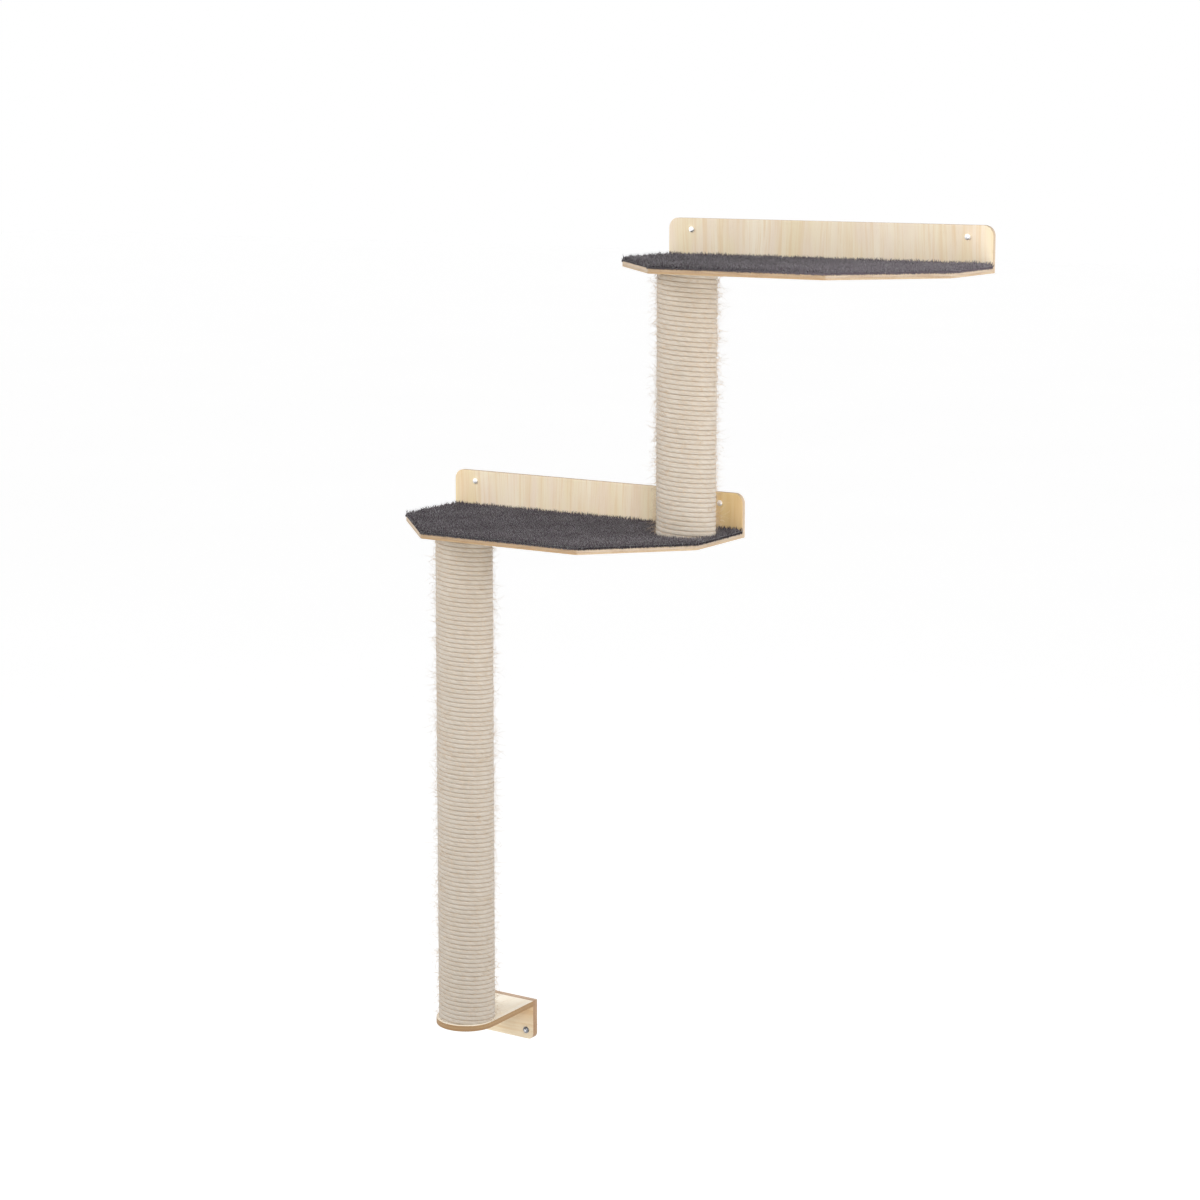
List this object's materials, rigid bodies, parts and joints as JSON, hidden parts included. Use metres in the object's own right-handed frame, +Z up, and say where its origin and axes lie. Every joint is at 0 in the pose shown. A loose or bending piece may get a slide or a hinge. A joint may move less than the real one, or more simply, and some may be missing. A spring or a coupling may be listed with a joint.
{
  "type": "cat climbing wall",
  "caption": "Wall-mounted climbing steps for a cat: carpeted plywood shelves on rope-wound scratching posts, with a wall bracket at the foot.",
  "frame": {"origin": "on the wall, midway between the two wall screws of the lower shelf", "axes": "+X along the wall to the right, +Y into the wall, +Z up"},
  "size_m": [1.039, 0.3385, 1.49],
  "materials": {
    "plywood": "pale veneer, clear matt lacquer",
    "bracket_plywood": "pale veneer with brown core edges, matt",
    "carpet": "short cut pile, dark grey",
    "rope": "twisted sisal, natural",
    "paper_tube": "wound kraft board",
    "plug_wood": "sawn softwood",
    "zinc_steel": "zinc plated",
    "bright_steel": "bright zinc plating, satin",
    "nickel_steel": "nickel plated, darkened, bright in the recess"
  },
  "bodies": {
    "root": {"upper_back_panel": "plywood", "upper_shelf_board": "plywood", "upper_carpet": "carpet", "upper_panel_screws": "zinc_steel", "upper_wall_screws": "bright_steel", "lower_back_panel": "plywood", "lower_shelf_board": "plywood", "lower_carpet": "carpet", "lower_panel_screws": "zinc_steel", "lower_wall_screws": "bright_steel", "upper_tube": "paper_tube", "upper_rope": "rope", "upper_top_plug": "plug_wood", "upper_bottom_plug": "plug_wood", "upper_tee_nuts": "zinc_steel", "upper_plug_nails": "zinc_steel", "upper_top_bolt": "zinc_steel", "upper_bottom_bolt": "zinc_steel", "upper_bottom_washer": "zinc_steel", "lower_tube": "paper_tube", "lower_rope": "rope", "lower_top_plug": "plug_wood", "lower_bottom_plug": "plug_wood", "lower_tee_nuts": "zinc_steel", "lower_plug_nails": "zinc_steel", "lower_top_bolt": "zinc_steel", "lower_bottom_bolt": "zinc_steel", "lower_bottom_washer": "zinc_steel", "bracket_plate": "bracket_plywood", "bracket_back": "bracket_plywood", "bracket_plate_screws": "zinc_steel", "bracket_wall_screws": "nickel_steel", "bracket_wall_washers": "nickel_steel"}
  },
  "joints": []
}
